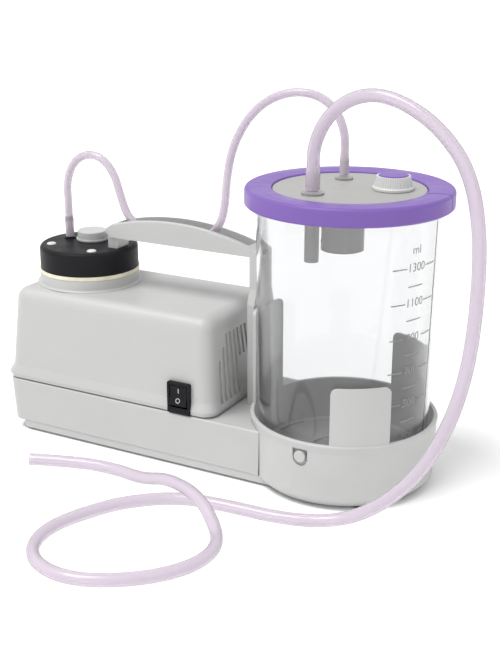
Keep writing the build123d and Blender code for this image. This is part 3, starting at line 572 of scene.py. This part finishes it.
def make_graduations():
    """The jar's scale: a numbered line for each odd hundred, a plain one for each even."""
    shapes = []

    def add(flat, azimuth, z):
        shapes.append((wrapped(flat[0], azimuth, z), flat[1]))

    for hundreds, height in HUNDRED_HEIGHTS.items():
        z = height * MM
        if hundreds % 2:
            add(lettering(str(hundreds * 100), DIGIT_SIZE), DIGITS, z)
            for azimuth in (LEFT_TICKS, RIGHT_TICKS):
                add(bar(TICK_LENGTH, LINE_WIDTH), azimuth, z)
        else:
            add(bar(PLAIN_LINE_LENGTH, LINE_WIDTH), DIGITS, z)
    add(lettering("ml", DIGIT_SIZE), DIGITS - 0.5, UNIT_HEIGHT * MM)
    scale = joined("jar_graduations", shapes)
    dress(scale, "lid_grey", JAR_INK)
    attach(scale, "canister")


ROCKER_PIVOT = Vector((-7.5, -43.5, 50.7)) * MM
ROCKER_REST_TILT = -8.0             # degrees about X
ROCKER_FACE_LEAN = 12.0             # degrees that each half of its face leans from upright
MARK_OUT, MARK_SIDE = 4.83, 3.3     # millimetres in front of the pivot, and above or below it
STROKE_LENGTH, STROKE_WIDTH = 3.2 * MM, 0.5 * MM
CIRCLE_RADII = (1.25 * MM, 1.65 * MM)


def circle(steps=24):
    """Vertices and faces of a flat ring in the XY plane."""
    vertices, faces = [], []
    for step in range(steps):
        angle = math.tau * step / steps
        for radius in CIRCLE_RADII:
            for depth in (-1, 1):
                vertices.append(Vector((radius * math.cos(angle), radius * math.sin(angle),
                                        depth * INK_THICKNESS / 2)))
        here, after = 4 * step, 4 * ((step + 1) % steps)
        for one, two in ((0, 2), (2, 3), (3, 1), (1, 0)):
            faces.append((here + one, here + two, after + two, after + one))
    return vertices, faces


def make_rocker_marks():
    """A line and a circle on the two halves of the rocker's face, for on and off."""
    shapes = []
    stroke, stroke_faces = bar(STROKE_LENGTH, STROKE_WIDTH)
    upright = [Vector((-flat.y, flat.x, flat.z)) for flat in stroke]
    turn = Euler((math.radians(ROCKER_REST_TILT), 0, 0)).to_matrix()
    for (flats, faces), side in (((upright, stroke_faces), 1), (circle(), -1)):
        lean = Euler((math.radians(90 + side * ROCKER_FACE_LEAN), 0, 0)).to_matrix()
        middle = Vector((0, -MARK_OUT, side * MARK_SIDE)) * MM
        placed = [ROCKER_PIVOT + turn @ (middle + lean @ flat) for flat in flats]
        shapes.append((placed, faces))
    marks = joined("rocker_marks", shapes)
    dress(marks, "white_plastic", ROCKER_INK)
    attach(marks, "rocker")


make_graduations()
make_rocker_marks()


# ---- Floor and light ----------------------------------------------------------------

FLOOR_HALF = 12.0
FLOOR_SHADES = (0.93, 0.95)
SKY_STRENGTH = 0.86
BACKDROP_STRENGTH = 1.0             # what the camera sees past the floor
LAMP_PLACE = (-0.45, -0.58, 1.7)    # only its direction counts
LAMP_WIDTH = 30                     # degrees; a wide lamp throws soft shadows
LAMP_STRENGTH = 2.35


def make_floor():
    """A plain pale floor that runs past the camera's view."""
    corners = [(x * FLOOR_HALF, y * FLOOR_HALF, 0)
               for x, y in ((-1, -1), (1, -1), (1, 1), (-1, 1))]
    floor = mesh_piece("floor", corners, [(0, 1, 2, 3)])
    surface = Surface("floor")
    cloud = surface.noise(scale=1.5)
    darker, paler = [(shade, shade, shade) for shade in FLOOR_SHADES]
    surface.link(surface.ramp(cloud, [(0.3, darker), (0.7, paler)]),
                 surface.shader.inputs["Base Color"])
    surface.set(Roughness=0.9, Specular_IOR_Level=0.1)
    floor.data.materials.append(surface.material)


def make_lamp():
    """One soft, far lamp from the upper left of the machine's front."""
    data = bpy.data.lights.new("key", "SUN")
    data.angle = math.radians(LAMP_WIDTH)
    data.energy = LAMP_STRENGTH
    lamp = bpy.data.objects.new("key", data)
    lamp.location = LAMP_PLACE
    lamp.rotation_euler = (-Vector(LAMP_PLACE)).to_track_quat("-Z", "Y").to_euler()
    bpy.context.scene.collection.objects.link(lamp)


def make_sky():
    """Even white light from all round, with a backdrop as white as the floor."""
    world = bpy.data.worlds.new("sky")
    world.use_nodes = True
    tree = world.node_tree
    sky = tree.nodes["Background"]
    sky.inputs["Color"].default_value = (1, 1, 1, 1)
    sky.inputs["Strength"].default_value = SKY_STRENGTH
    backdrop = tree.nodes.new("ShaderNodeBackground")
    backdrop.inputs["Color"].default_value = (1, 1, 1, 1)
    backdrop.inputs["Strength"].default_value = BACKDROP_STRENGTH
    ray = tree.nodes.new("ShaderNodeLightPath")
    either = tree.nodes.new("ShaderNodeMixShader")
    tree.links.new(ray.outputs["Is Camera Ray"], either.inputs["Fac"])
    tree.links.new(sky.outputs["Background"], either.inputs[1])
    tree.links.new(backdrop.outputs["Background"], either.inputs[2])
    tree.links.new(either.outputs["Shader"], tree.nodes["World Output"].inputs["Surface"])
    bpy.context.scene.world = world


make_floor()
make_sky()
make_lamp()
bpy.context.scene.view_settings.view_transform = "Standard"
